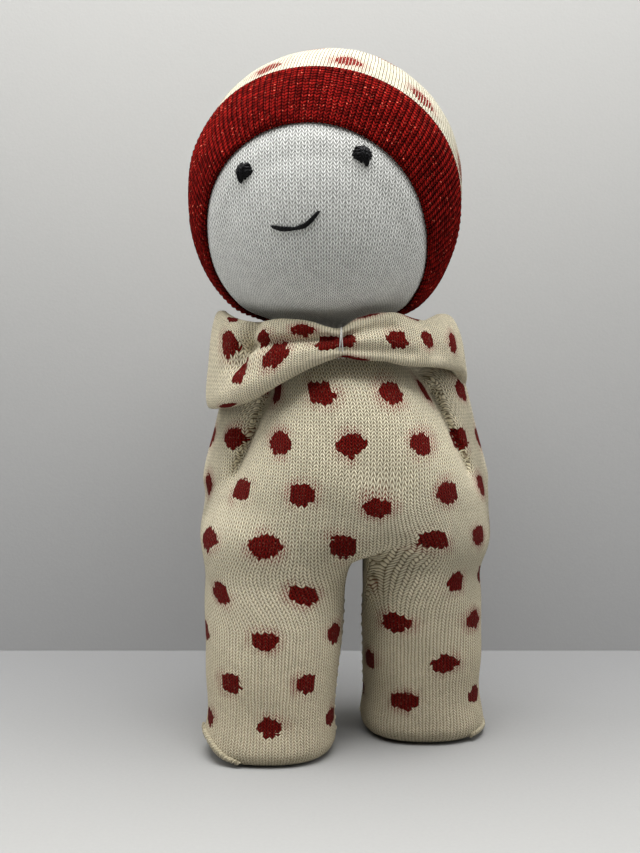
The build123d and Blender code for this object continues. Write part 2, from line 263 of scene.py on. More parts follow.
def hat_dots(tree, u, v):
    """Rows of dots round the crown, half a step apart."""
    row = ((v - HAT_FIRST_ROW) / HAT_ROW_COURSES).fn("ROUND").fn("MAXIMUM", 0.0)
    turn = u / HAT_DOT_WALES - row.fn("FLOORED_MODULO", 2.0) * 0.5 + 0.19
    across = (turn - turn.fn("ROUND")) * HAT_DOT_WALES
    return from_middle(across, 4.1, v - HAT_FIRST_ROW - row * HAT_ROW_COURSES, 1.7)


def knit(name, yarn, gap_shade, dots=None, slope=2.4, depth=0.40, rough=0.92, sheen=0.02, glitter_glints=0.0, mottle=0.12,
         uneven=0.14, close=0.82, shine=0.05, rib=0.0, bars=0.0, red=DOT_RED, shade_and_warm_tone=False, notch=1.0):
    """Stocking stitch from the piece's wale and course coordinates, with an optional pattern of dots.

    slope is the stitch's V, depth its relief in millimetres, notch the gap between two courses and close how
    much of a stitch is yarn. uneven and mottle vary its tone, rib rounds each wale and bars hides part of it.
    """
    material, tree, shader = new_material(name, rough, sheen, shine)
    u, v = knit_place(tree)
    u = u + (noise_at(tree, 260.0) - 0.5) * WOBBLE
    v = v + (noise_at(tree, 310.0) - 0.5) * WOBBLE
    side = (u.fn("FRACT") - 0.5).fn("ABSOLUTE")
    lifted = v + side * slope
    leg = 1.0 - (side * 4.0 - 1.0).fn("POWER", 2.0)
    gap = (lifted.fn("FRACT") * 2.0 - 1.0).fn("POWER", 2.0) * notch
    height = (1.0 - gap * (1.0 - leg * 0.2)) * (leg * 0.65 + 0.35)
    if rib:
        height = height * (1.0 - (side * 2.0).fn("POWER", 2.0) * rib)
    wale = u.fn("FLOOR")
    chance = random_at(tree, wale, lifted.fn("FLOOR"), 1.0)
    fuzz = noise_at(tree, 1400.0, 3.0)
    solid = smooth(height + (fuzz - 0.5) * 0.25, 0.10, close)
    light = noise_at(tree, 38.0, 3.0)
    tone = (chance - 0.5) * uneven + (fuzz - 0.5) * 0.16 + (light - 0.5) * mottle + 1.0
    # Painted shade: where the stitch relief is low, the yarn gives way to the dark second colour
    colour = colour_mix(tree, solid, gap_shade, yarn)
    # Painted shade that grows downwards: darker from below the chest and again down the legs, where a warmer,
    # darker tone is mixed in, partly the legs' own tone and partly painted shade
    if shade_and_warm_tone:
        tone = tone * (1.0 - smooth(v, 20.0, 34.0) * 0.16) * (1.0 - smooth(v, 66.0, 105.0) * 0.10)
        colour = colour_mix(tree, smooth(v, 40.0, 100.0) * 0.25, colour, WARM_SHADE_TONE)
    if dots is not None:
        strand = random_at(tree, wale, (v / 5.0).fn("FLOOR"), 5.0)
        reach = dots(tree, wale * 0.5 + u * 0.5 + 0.25, v + (side - 0.25) * 1.3)
        reach = reach + (chance - 0.5) * 0.14 + (strand - 0.5) * 0.26
        inside = reach < 1.0
        if bars:
            inside = inside * (u.fn("FRACT") > bars)
        peep = smooth(noise_at(tree, 1900.0, 1.0), 0.62, 0.70) * (1.0 - solid * 0.6)
        # Painted shade between the red stitches of a dot, with flecks of pale yarn between them
        dot = colour_mix(tree, peep * 0.4, colour_mix(tree, solid, DOT_GAP_SHADE, red), PEEP)
        near = (1.0 - smooth(reach, 0.9, 2.1)) * smooth(noise_at(tree, 75.0, 1.0), 0.38, 0.60)
        colour = colour_mix(tree, near * (1.0 - solid) * 0.95 + near * 0.2, colour, BLUSH)
        colour = colour_mix(tree, inside, colour, dot)
    # Glitter fibres drawn as brighter orange red flecks of the base colour: painted glints
    if glitter_glints:
        glint_chance = random_at(tree, (u * 5.0).fn("FLOOR"), (v * 4.0).fn("FLOOR"), 7.0)
        colour = colour_mix(tree, (glint_chance > 1.0 - glitter_glints) * solid, colour, GLITTER_GLINT_RED)
    shade = tree.nodes.new("ShaderNodeHueSaturation")
    tree.links.new(tone.socket, shade.inputs["Value"])
    tree.links.new(colour, shade.inputs["Color"])
    tree.links.new(shade.outputs[0], shader.inputs["Base Color"])
    bump_from(tree, shader, height + (fuzz - 0.5) * 0.35, depth)
    return material


def thread_material(name, light, groove_shade, rough, sheen=0.2, specular=0.4):
    """Plied thread from the tube's own coordinates: ply lines that wind along it, with painted shade in the
    grooves between the plies.
    """
    material, tree, shader = new_material(name, rough, sheen, specular)
    turn, length = knit_place(tree)
    ply = ((turn * 3.0 + length * 0.9) * (2 * pi)).fn("SINE") * 0.5 + 0.5
    fuzz = noise_at(tree, 2200.0, 3.0)
    mixed = colour_mix(tree, smooth(ply * 0.7 + fuzz * 0.3, 0.15, 0.75), groove_shade, light)
    tree.links.new(mixed, shader.inputs["Base Color"])
    bump_from(tree, shader, ply + (fuzz - 0.5) * 0.6, 0.12)
    return material


def fibre_material():
    material, tree, shader = new_material("polyester_fibre", 0.95, 0.5)
    strands = noise_at(tree, 420.0, 6.0)
    clumps = noise_at(tree, 60.0, 2.0)
    # Painted shade: grey where the fibre's strands and clumps sink, white where they stand up
    mixed = colour_mix(tree, smooth(strands * 0.7 + clumps * 0.3, 0.35, 0.65),
                       (0.62, 0.62, 0.60), (0.92, 0.92, 0.90))
    tree.links.new(mixed, shader.inputs["Base Color"])
    bump_from(tree, shader, strands + clumps, 0.8)
    return material


# The second colour of each thread is painted shade in the grooves between its plies
cream_thread = thread_material("cream_sewing_thread", (0.80, 0.75, 0.58), (0.45, 0.40, 0.28), 0.6)
toe_yarn = thread_material("toe_linking_yarn", (0.43, 0.38, 0.26), (0.27, 0.23, 0.15), 0.9)
fibre = fibre_material()


# ---------------------------------------------------------------- meshes
TUBE_SIDES = 8


def mesh_object(name, points, faces, corner_uv, material):
    """A smooth mesh from millimetres, with a pair of coordinates for each face corner."""
    mesh = bpy.data.meshes.new(name)
    mesh.from_pydata((np.asarray(points) * MM).tolist(), [], faces)
    layer = mesh.uv_layers.new(name="knit")
    layer.data.foreach_set("uv", np.asarray(corner_uv, np.float32).reshape(-1))
    mesh.shade_smooth()
    mesh.materials.append(material)
    return new_object(name, mesh)


def declare(obj, body, replaced):
    """Hide the CAD part that a piece replaces. A piece of the left or right leg keeps its place baked into
    its mesh, and any other piece is put on its body.
    """
    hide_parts(replaced)
    if body in LEGS:
        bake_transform(obj)
    else:
        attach(obj, body)


def piece(name, points, faces, uv, material, body, replaced, normals=None):
    """A named piece. uv holds coordinates for each face corner, or one pair for each point."""
    uv = np.asarray(uv)
    if uv.ndim == 2:
        uv = uv[faces]
    obj = mesh_object(name, points, faces.tolist(), uv, material)
    obj.data.validate()
    if normals is not None:
        obj.data.normals_split_custom_set_from_vertices(normals.tolist())
    declare(obj, body, replaced)
    return obj


def grid_mesh(along_rows, along_columns, wrap_rows, wrap_columns=True):
    """Quads over a grid of points, and two coordinates for each face corner: its column's, then its row's.

    The coordinates of rows or columns that wrap are one more than their points.
    """
    rows, columns = len(along_rows) - wrap_rows, len(along_columns) - wrap_columns
    i, j = np.meshgrid(np.arange(len(along_rows) - 1), np.arange(len(along_columns) - 1), indexing="ij")
    i, j = i.ravel(), j.ravel()
    i = np.stack([i, i + 1, i + 1, i], 1)
    j = np.stack([j, j, j + 1, j + 1], 1)
    return (i % rows) * columns + j % columns, np.stack([along_columns[j], along_rows[i]], -1)


def lengths_round(path):
    """Length along a path at each of its points, and last the length once round it."""
    gaps = np.linalg.norm(np.diff(np.vstack([path, path[:1]]), axis=0), axis=1)
    return np.concatenate([[0], np.cumsum(gaps)])


def tube(path, radius, closed):
    """Points, faces and corner coordinates of a tube that follows a path."""
    path = np.asarray(path, float)
    count = len(path)
    radius = np.broadcast_to(np.asarray(radius, float), (count,))
    ahead = np.roll(path, -1, 0) - np.roll(path, 1, 0) if closed else np.gradient(path, axis=0)
    ahead /= np.linalg.norm(ahead, axis=1)[:, None]
    side = np.cross(ahead[0], (0.3, 0.2, 0.93))
    frames = []
    for direction in ahead:
        side = side - direction * (side @ direction)
        side = side / np.linalg.norm(side)
        frames.append((side, np.cross(direction, side)))
    frames = np.array(frames)
    turn = (np.arange(TUBE_SIDES) * 2 * pi / TUBE_SIDES)[None, :, None]
    ring = np.cos(turn) * frames[:, None, 0] + np.sin(turn) * frames[:, None, 1]
    points = (path[:, None] + ring * radius[:, None, None]).reshape(-1, 3).tolist()
    length = lengths_round(path)[:count + closed]
    faces, corner_uv = grid_mesh(length, np.arange(TUBE_SIDES + 1) / TUBE_SIDES, closed)
    faces, corner_uv = faces.tolist(), corner_uv.reshape(-1, 2).tolist()
    for end, way in () if closed else ((0, -1), (count - 1, 1)):
        tip = len(points)
        points.append((path[end] + way * ahead[end] * radius[end] * 0.5).tolist())
        for j in range(TUBE_SIDES):
            a, b = end * TUBE_SIDES + j, end * TUBE_SIDES + (j + 1) % TUBE_SIDES
            faces.append([a, b, tip] if end == 0 else [b, a, tip])
            corner_uv += [(j / TUBE_SIDES, length[end])] * 3
    return points, faces, corner_uv


def thread_piece(name, specs, body, replaced, material=cream_thread):
    """Threads as one piece. Each spec is a path, its radius and whether it is closed."""
    points, faces, corner_uv = [], [], []
    for path, radius, closed in specs:
        base = len(points)
        more_points, more_faces, more_uv = tube(path, radius, closed)
        points += more_points
        faces += [[base + corner for corner in face] for face in more_faces]
        corner_uv += more_uv
    declare(mesh_object(name, points, faces, corner_uv, material), body, replaced)


def smooth_curve(points, count):
    """A smooth curve through a few points."""
    points = np.asarray(points, float)
    padded = np.vstack([2 * points[0] - points[1], points, 2 * points[-1] - points[-2]])
    made = []
    for t in np.linspace(0, len(points) - 1 - 1e-9, count):
        i = int(t)
        f = t - i
        a, b, c, d = padded[i:i + 4]
        made.append(0.5 * (2 * b + (c - a) * f + (2 * a - 5 * b + 4 * c - d) * f ** 2
                           + (3 * b - a - 3 * c + d) * f ** 3))
    return np.array(made)


# ---------------------------------------------------------------- the suit as one smooth field
def smooth_min(a, b, k):
    h = np.clip(0.5 + 0.5 * (b - a) / k, 0, 1)
    return b * (1 - h) + a * h - k * h * (1 - h)


def smooth_max(a, b, k):
    return -smooth_min(-a, -b, k)


def step_between(value, low, high):
    t = np.clip((value - low) / (high - low), 0, 1)
    return t * t * (3 - 2 * t)


TABLE_Z = np.arange(40.0, 160.0, 0.5)
KERNEL = np.exp(-0.5 * (np.arange(-16, 17) * 0.5 / 3.5) ** 2)
KERNEL /= KERNEL.sum()


def table_of(column):
    raw = np.interp(np.arange(32.0, 168.0, 0.5), TORSO[:, 0], TORSO[:, column])
    return np.convolve(raw, KERNEL, "valid")[:len(TABLE_Z)]


TORSO_TABLES = [table_of(k) for k in (1, 2, 3)]


def torso_at(z):
    """Middle X, half width and half depth of the torso at a height."""
    return [np.interp(z, TABLE_Z, table) for table in TORSO_TABLES]


def capsule_field(x, y, z, start, end, radius):
    start, end = np.array(start), np.array(end)
    along = end - start
    t = ((x - start[0]) * along[0] + (y - start[1]) * along[1] + (z - start[2]) * along[2]) / (along @ along)
    t = np.clip(t, 0, 1)
    return np.sqrt((x - start[0] - t * along[0]) ** 2 + (y - start[1] - t * along[1]) ** 2
                   + (z - start[2] - t * along[2]) ** 2) - radius


def leg_at(side, z):
    """Middle, half width and half depth of a leg at a height."""
    sole_x, sole_y, sole_a, sole_b, hip_x, hip_y, hip_a, hip_b = LEGS[side]
    t = np.clip(z / HIP_Z, 0, 1)
    flare = 0.8 * (1 - step_between(z, 3, 14)) - 0.5 * np.exp(-((z - 17) / 7.0) ** 2)
    return (sole_x + (hip_x - sole_x) * t, sole_y + (hip_y - sole_y) * t,
            sole_a + (hip_a - sole_a) * t + flare, sole_b + (hip_b - sole_b) * t + flare)


def leg_round(side, x, y, z):
    """How far out of a leg's middle a point lies, 1 on its surface."""
    cx, cy, a, b = leg_at(side, z)
    n = 2.5
    return (np.abs((x - cx) / a) ** n + np.abs((y - cy) / b) ** n) ** (1 / n)


def leg_field(side, x, y, z):
    cx, cy, a, b = leg_at(side, z)
    f = (leg_round(side, x, y, z) - 1) * (a + b) / 2
    f = smooth_max(f, -z, 6.5)
    if side == "left":
        f = smooth_max(f, -0.72 * (x + 43.5) - 0.25 * (y + 36) * 0.3 - 0.66 * (z - 3.0), 3.0)
    return smooth_max(f, z - 78, 10.0)


def ripple(x, y, z):
    """The low unevenness of stuffed knit."""
    sway = x / 8.3 + 1.1 + 0.6 * np.sin(z / 17)
    return (0.42 * np.sin(sway) * np.sin(z / 10.7 + 0.4) * np.sin(y / 11.0 + 2.0)
            + 0.28 * np.sin(x / 5.1 + z / 7.9) * np.sin(z / 6.3 - y / 8.0))


def near_line(x, z, line):
    """Distance to a bent line, seen from the front."""
    best = np.full(x.shape, 1e9)
    for (x0, z0), (x1, z1) in zip(line, line[1:]):
        dx, dz = x1 - x0, z1 - z0
        t = np.clip(((x - x0) * dx + (z - z0) * dz) / (dx * dx + dz * dz), 0, 1)
        best = np.minimum(best, np.hypot(x - x0 - t * dx, z - z0 - t * dz))
    return best


def ball_field(x, y, z, centre, radius):
    return np.sqrt((x - centre[0]) ** 2 + (y - centre[1]) ** 2 + (z - centre[2]) ** 2) - radius


def suit_field(x, y, z):
    """Signed distance, about, to the whole suit: torso, arms and legs."""
    cx, a, b = torso_at(z)
    dx = x - cx
    share = np.sqrt((dx / a) ** 2 + (y / b) ** 2)
    slope = np.sqrt((dx / a ** 2) ** 2 + (y / b ** 2) ** 2) + 1e-9
    torso = np.where(share < 0.15, -np.minimum(a, b) * 0.9, share * (share - 1) / slope)
    floor = 66.5 + 5.0 * np.exp(-((x - 19) / 9) ** 2) * step_between(-y, 4, 20)
    torso = smooth_max(torso, floor - z, 11.0 - 3.5 * step_between(x, 8, 20))
    f = smooth_max(torso, z - NECK[2], 7.0)
    tight = 1.3 + 7.0 * (1 - step_between(z, 84, 96))
    for start, end in ARMS:
        f = smooth_min(f, capsule_field(x, y, z, start, end, ARM_R), tight)
    for line in ARM_CREASES:
        groove = 2.0 * np.exp(-(near_line(x, z, line) / 1.6) ** 2)
        f = f + groove * step_between(-y, 2, 8) * step_between(z, 90, 98)
    f = smooth_min(f, leg_field("left", x, y, z), 11.0)
    f = smooth_min(f, leg_field("right", x, y, z), 3.0 + 6.0 * step_between(x, 18, 36))
    f = smooth_max(f, -ball_field(x, y, z, NECK, 11.8), 2.0)
    return f + ripple(x, y, z) * step_between(z, 2, 12)


def gradient(field, p, h=0.15):
    x, y, z = p.T
    return np.stack([field(x + h, y, z) - field(x - h, y, z), field(x, y + h, z) - field(x, y - h, z),
                     field(x, y, z + h) - field(x, y, z - h)], 1) / (2 * h)


def settle(field, points, rounds, reach=np.inf):
    """Points moved onto a field's zero surface, and the outward normal at each."""
    for _ in range(rounds):
        g = gradient(field, points)
        move = field(*points.T)[:, None] * g / ((g ** 2).sum(1)[:, None] + 1e-6)
        points = points - np.clip(move, -reach, reach)
    g = gradient(field, points)
    return points, g / (np.linalg.norm(g, axis=1)[:, None] + 1e-9)


def surface_net(field, low, high, cell):
    """A quad mesh of a field's zero surface, and the outward normal at each of its points."""
    axes = [np.arange(a, b + cell, cell) for a, b in zip(low, high)]
    grid = np.meshgrid(*axes, indexing="ij")
    value = field(*grid)
    inside = value < 0
    shape = np.array(value.shape) - 1
    corners = [(i, j, k) for i in (0, 1) for j in (0, 1) for k in (0, 1)]

    def at(array, offset):
        return array[tuple(slice(o, o + s) for o, s in zip(offset, shape))]

    count = sum(at(inside, c).astype(int) for c in corners)
    active = (count > 0) & (count < 8)
    total = np.zeros((*shape, 3))
    hits = np.zeros(shape)
    for a in corners:
        for axis in range(3):
            if a[axis]:
                continue
            b = tuple(v + (k == axis) for k, v in enumerate(a))
            va, vb = at(value, a), at(value, b)
            crossed = (va < 0) != (vb < 0)
            t = np.where(crossed, va / np.where(crossed, va - vb, 1), 0)
            for k in range(3):
                total[..., k] += crossed * (a[k] + (t if k == axis else 0))
            hits += crossed
    index = np.full(tuple(shape), -1)
    index[active] = np.arange(active.sum())
    where = np.argwhere(active)
    points = (where + total[active] / hits[active][:, None]) * cell + np.array(low)
    faces = []
    for axis in range(3):
        b, c = (axis + 1) % 3, (axis + 2) % 3
        step = np.zeros(3, int)
        step[axis] = 1
        ahead = inside[tuple(slice(s, None) for s in step)]
        here = inside[tuple(slice(0, inside.shape[k] - step[k]) for k in range(3))]
        spots = np.argwhere(here != ahead)
        spots = spots[((spots[:, [b, c]] > 0) & (spots[:, [b, c]] < shape[[b, c]])).all(1)]
        db, dc = np.eye(3, dtype=int)[b], np.eye(3, dtype=int)[c]
        quad = np.stack([index[tuple((spots - o).T)] for o in (db + dc, dc, 0 * db, db)], 1)
        flip = ~here[tuple(spots.T)]
        quad[flip] = quad[flip][:, ::-1]
        faces.append(quad)
    points, normals = settle(field, points, 4, 0.4 * cell)
    return points, np.vstack(faces), normals


def subset(points, faces, normals, keep):
    """The part of a mesh whose faces are kept."""
    faces = faces[keep]
    used = np.unique(faces)
    renumber = np.full(len(points), -1)
    renumber[used] = np.arange(len(used))
    return points[used], renumber[faces], normals[used]


def unwrapped(angle):
    """Angles at each face's corners in degrees, made continuous round the face."""
    return angle + 360 * np.round((angle[:, :1] - angle) / 360)


def suit_rows(x, y, z, normals):
    """Which row of dots each point lies in."""
    row = (ROW_GAP - np.sqrt(ROW_GAP ** 2 - 4 * ROW_CLOSING * (ROW_TOP_Z - z))) / (2 * ROW_CLOSING)
    row = row - 0.2 * (1 - step_between(x, 2, 18)) * (1 - step_between(z, 60, 85))
    row = row - 0.3 * np.exp(-((x - 15) / 13) ** 2 - ((z - 88) / 9) ** 2)
    rim = np.where(x < BETWEEN_LEGS, leg_round("left", x, y, z), leg_round("right", x, y, z))
    under = np.clip(0.95 - rim, 0, 1) * 22 / 1.2 / ROW_COURSES * step_between(-normals[:, 2], 0.4, 0.9)
    return row + np.where(z < 8, under, 0)


def suit_uv(points, faces, normals):
    """Wales and courses of the suit. The legs are the two halves of the sock, closed at the inner seam."""
    x, y, z = points.T
    cx, _, half_depth = torso_at(z)
    turn = np.degrees(np.arctan2((x - cx) / 48, -y / half_depth))
    share = np.clip((x - cx) / 54, -0.97, 0.97)
    ahead = np.degrees(np.arctan2((x - cx) / 48, np.sqrt(1 - share ** 2)))
    # In front of the belly the stitches keep more of their width as seen from ahead
    flat = step_between(-y, 2, 9) * (1 - step_between(z, 112, 124)) * step_between(z, 62, 74)
    degrees = unwrapped((turn + (ahead - turn) * flat * 0.6)[faces])
    leg = (1 - step_between(z, 42.5, 64.5))[faces]
    on_left = points[faces].mean(1)[:, 0] < BETWEEN_LEGS
    for side, offset, rate, cut in (("left", -35.5, 0.5, 90.0), ("right", 33.0, 0.42, -90.0)):
        leg_x, leg_y, _, _ = leg_at(side, z)
        around = np.degrees(np.arctan2(x - leg_x, -(y - leg_y)))
        if side == "left":
            around = np.where(around > cut, around - 360, around)
        else:
            around = np.where(around < cut, around + 360, around)
        on_leg = (1 - leg) * degrees + leg * (offset + rate * unwrapped(around[faces]))
        degrees = np.where((on_left == (side == "left"))[:, None], on_leg, degrees)
    row = suit_rows(x, y, z, normals)[faces]
    pinch = 10 * np.exp(-((degrees - 38) / 18) ** 2 - (row - 3.4) ** 2)
    return np.stack([(degrees - pinch) / DOT_STEP * DOT_WALES, row * ROW_COURSES], -1)


# The suit gets painted shade that grows downwards, with a warmer tone on the legs
dotted = knit("dotted_sock_knit", CREAM, CREAM_GAP_SHADE, suit_dots, shade_and_warm_tone=True)

CELL = 1.3
suit = surface_net(suit_field, (-52.3, -42.1, -3.2), (58.0, 40.0, 146.0), CELL)
suit_corner_uv = suit_uv(*suit)
middle = suit[0][suit[1]].mean(1)
above, on_left = middle[:, 2] >= SPLIT_Z, middle[:, 0] < BETWEEN_LEGS
for name, body, keep in (("torso", "torso", above), ("left_leg", "left", ~above & on_left),
                         ("right_leg", "right", ~above & ~on_left)):
    points, faces, normals = subset(*suit, keep)
    skin = piece(f"suit_{name}", points, faces, suit_corner_uv[keep], dotted, body,
                 f"{name}_skin", normals)


# ---------------------------------------------------------------- stuffing, seen only if the suit is opened
def lumps(x, y, z):
    return 0.35 * np.sin(x / 3.1 + 1) * np.sin(y / 2.7) * np.sin(z / 3.4 + 2)


def closed_part(field, low, high):
    """A closed surface inside a field, between two heights."""
    def inner(x, y, z):
        return smooth_max(field(x, y, z) + 2.4, smooth_max(low - z, z - high, 2), 2) + lumps(x, y, z)
    return surface_net(inner, (-50.3, -42.1, low - 2), (56.0, 40.0, high + 3), 3.0)


def filling(name, net, body):
    points, faces, normals = net
    stuffing = piece(f"{name}_stuffing", points, faces, points[:, [0, 2]], fibre, body,
                     f"{name}_filling", normals)


def belly_field(x, y, z):
    f = suit_field(x, y, z)
    for start, end in ARMS:
        f = smooth_max(f, -(capsule_field(x, y, z, start, end, ARM_R) + 0.6), 1.0)
    return f


filling("torso", closed_part(belly_field, SPLIT_Z + 0.5, 139.0), "torso")
for side, (start, end) in zip(LEGS, ARMS):
    net = surface_net(lambda x, y, z: capsule_field(x, y, z, start, end, ARM_R - 2.6) + lumps(x, y, z),
                      (min(start[0], end[0]) - 16, -16, 80), (max(start[0], end[0]) + 16, 20, 138), 2.6)
    filling(f"{side}_arm", net, "torso")
points, faces, normals = closed_part(suit_field, 0.5, SPLIT_Z - 0.5)
on_left = points[faces].mean(1)[:, 0] < BETWEEN_LEGS
for side, keep in (("left", on_left), ("right", ~on_left)):
    filling(f"{side}_leg", subset(points, faces, normals, keep), side)


# ---------------------------------------------------------------- sewing on the suit
def surface_y(x, z, face):
    """Y of the suit's surface at X and Z, in front for face -1 and behind for 1."""
    far, near = 45.0 * face, 0.0
    for _ in range(22):
        half = (far + near) / 2
        inside = suit_field(np.array([x]), np.array([half]), np.array([z]))[0] < 0
        far, near = (far, half) if inside else (half, near)
    return near


ARM_ROWS = {"left": ((-26.5, 117.0), (-34.4, 98.5)), "right": ((35.2, 117.0), (43.8, 98.5))}
ARM_STITCHES, STITCH_LENGTH = 9, 1.7


def running_stitches(row):
    """Short stitches along a straight row, in front and behind. Their ends sink into the knit."""
    (x0, z0), (x1, z1) = row
    specs = []
    for face in (-1, 1):
        for i in range(ARM_STITCHES):
            path = []
            for s, sink in ((-0.5, 1.05), (-0.2, 0.15), (0.2, 0.15), (0.5, 1.05)):
                along = (i + 0.5) / ARM_STITCHES + s * STITCH_LENGTH / np.hypot(x1 - x0, z1 - z0)
                x, z = x0 + (x1 - x0) * along, z0 + (z1 - z0) * along
                path.append((x, surface_y(x, z, face) - face * sink, z))
            specs.append((smooth_curve(path, 7), 0.28, False))
    return specs


def round_neck(turn, radius, height):
    """A path round the neck, with a radius and a height for each angle."""
    return np.stack([NECK[0] + radius * np.cos(turn), NECK[1] + radius * np.sin(turn), height], 1)


for side, row in ARM_ROWS.items():
    thread_piece(f"{side}_arm_sewing", running_stitches(row), "torso", f"{side}_arm_stitches")

drawn = np.linspace(0, 2 * pi, 97)[:-1]
ring_path = round_neck(drawn, 13.0 + 0.25 * np.sin(24 * drawn), 140.2 + 0.45 * np.cos(24 * drawn))
thread_piece("drawstring", [(ring_path, 0.5, True)], "torso", "neck_drawstring")


def on_suit(place):
    """The nearest point of the suit's surface and the way out of it there."""
    (point,), (out,) = settle(suit_field, np.array([place], float), 6)
    return point, out


for side, inner in (("left", 1), ("right", -1)):
    specs = []
    for i in range(13):
        z = 6.0 + 3.6 * i
        cx, cy, a, _ = leg_at(side, z)
        path = []
        for dy, dz in ((-1.1, -0.7), (-0.5, -0.3), (0.5, 0.3), (1.1, 0.7)):
            p, out = on_suit((cx + inner * a, cy + dy, z + dz))
            path.append(p + out * (0.12 if abs(dy) < 1 else -0.6))
        specs.append((smooth_curve(path, 7), 0.26, False))
    thread_piece(f"{side}_inseam_sewing", specs, side, f"{side}_inseam_stitches")

TOE_ROUTES = {
    "left": ((-47.5, -16, 8.5), (-46.5, -27, 7.8), (-43.5, -34.5, 5.6), (-39, -37.5, 3.0), (-33.5, -37, 0.8)),
    "right": ((53.0, 20, 2.0), (53.5, 10, 2.4), (53.5, 0, 2.6), (52.5, -9, 2.4), (49.5, -14, 1.6))}
TOE_STEPS = 90
for side, route in TOE_ROUTES.items():
    line = smooth_curve(route, TOE_STEPS)
    ridge, chain = [], []
    for i, (p, along) in enumerate(zip(line, np.gradient(line, axis=0))):
        q, out = on_suit(p)
        across = np.cross(out, along / np.linalg.norm(along))
        ridge.append(q + out * 0.1)
        chain.append(q + out * (0.75 + 0.2 * np.cos(i * 1.6)) + across * 0.75 * np.sin(i * 0.8))
    swell = 0.95 * np.sqrt(np.clip(1 - np.abs(np.linspace(-1, 1, TOE_STEPS)) ** 6, 0.05, 1))
    thread_piece(f"{side}_toe_ridge", [(ridge, swell, False), (smooth_curve(chain, 260), 0.3, False)], side,
                 f"{side}_toe_seam", toe_yarn)


# ---------------------------------------------------------------- neck and head
def head_shape(points):
    """The stuffed head is a little narrower than its ball, and fuller towards the neck."""
    points = np.array(points, float)
    below = HEAD[2] - points[..., 2]
    points[..., 2] -= 3.4 * step_between(below, 0, 28) * (1 - step_between(below, 35, 47))
    points[..., 0] = HEAD[0] + (points[..., 0] - HEAD[0]) * 0.98
    return points


def turned(centre, profile, count, wales, course, wave):
    """A shape turned round a vertical axis. profile is a list of (radius, height), and wave changes both."""
    profile = np.asarray(profile, float)
    turn = np.arange(count) * 2 * pi / count
    more_radius, more_height = wave(np.arange(len(profile))[:, None], turn[None, :])
    radius, height = profile[:, :1] + more_radius, profile[:, 1:] + more_height
    points = np.asarray(centre) + np.stack([radius * np.cos(turn), radius * np.sin(turn), height], -1)
    length = lengths_round(profile)[:-1] / course
    faces, uv = grid_mesh(length, np.arange(count + 1) / count * wales, False)
    return points.reshape(-1, 3), faces[:, ::-1], uv[:, ::-1]


HAT_SIDE = np.cross(HAT_AXIS, (0, 0, 1.0))
HAT_SIDE /= np.linalg.norm(HAT_SIDE)
HAT_DOWN = np.cross(HAT_AXIS, HAT_SIDE)


def mouth_shift(turn):
    """Degrees by which the cuff's edge comes further over the face, turn 0 at its -X side and 90 below."""
    return -2.4 - 1.0 * np.cos(turn) + 1.3 * np.sin(turn) - 2.1 * np.cos(2 * turn)


def end_shift(turn):
    return -1.8 + 1.8 * np.cos(turn) - 0.5 * np.sin(turn)


def squeezed(points):
    """The head swells a little where it comes out of the cuff."""
    ray = points - HEAD
    far = np.linalg.norm(ray, axis=1)
    angle = np.degrees(np.arccos(np.clip(ray @ HAT_AXIS / far, -1, 1)))
    mouth = CUFF_MOUTH + mouth_shift(np.arctan2(ray @ HAT_DOWN, ray @ HAT_SIDE))
    swell = step_between(angle, mouth - 14, mouth - 4) * (1 - step_between(angle, mouth - 0.6, mouth + 2.2))
    return points + ray / far[:, None] * 0.9 * swell[:, None]


# The second colour is painted shade in the gaps between the stitches
white = knit("white_sock_knit", (0.90, 0.905, 0.87), (0.28, 0.285, 0.265), depth=0.30, slope=2.2, rough=0.95,
             sheen=0.05, mottle=0.05)
HEAD_WALES = 142
polar = np.concatenate([np.radians(np.linspace(3.0, 30.0, 24)), np.radians(np.linspace(31.0, 150.0, 110)),
                        np.radians(np.linspace(151.0, 165.0, 22))])
head_profile = [(HEAD_R * sin(a), HEAD_R * cos(a)) for a in polar]
head_profile += [(10.4, -45.9), (9.3, -47.6), (8.9, -49.5), (8.75, -50.8), (8.9, -52.2), (9.2, -53.8),
                 (9.1, -55.3), (8.4, -56.2), (7.7, -56.0)]
head_profile[0] = (0.9, HEAD_R * cos(polar[0]) - 0.8)


def head_wave(i, turn):
    """Gathers at the crown and at the neck."""
    return (step_between(i, 122, 152) * 0.55 * np.cos(26 * turn),
            np.exp(-i / 9.0) * 0.8 * np.cos(18 * turn) * (i > 0))


points, faces, uv = turned(HEAD, head_profile, 344, HEAD_WALES, -1.24, head_wave)
points[:, :2] += step_between(HEAD[2] - points[:, 2], 40, 48)[:, None] * (NECK - HEAD)[:2]
head = piece("head_ball", head_shape(squeezed(points)), faces, uv, white, "head", "head_skin")

ball = surface_net(lambda x, y, z: ball_field(x, y, z, HEAD, 43.6) + lumps(x, y, z),
                   HEAD - 47.3, HEAD + 47.0, 3.2)
filling("head", ball, "head")

stub_profile = [(0.6, 6.6), (2.6, 6.2), (4.4, 5.2), (5.9, 3.4), (6.7, 1.2), (6.7, -1.2), (6.0, -3.2),
                (4.9, -4.8), (4.2, -6.5), (4.1, -9.0), (4.2, -12.0), (4.6, -14.0), (6.6, -15.2), (8.4, -17.0),
                (8.8, -20.0), (8.6, -23.0), (7.4, -24.6), (4.0, -25.0), (0.6, -25.1)]
stub_profile = smooth_curve([(*p, 0) for p in stub_profile], 90)[:, :2]
points, faces, uv = turned(NECK, stub_profile, 96, 40, 1.2,
                           lambda i, turn: (0.22 * np.cos(14 * turn) * step_between(i, 12, 30), 0 * turn))
piece("neck_stub_knit", points, faces, uv, white, "neck_stub", "neck_stub")

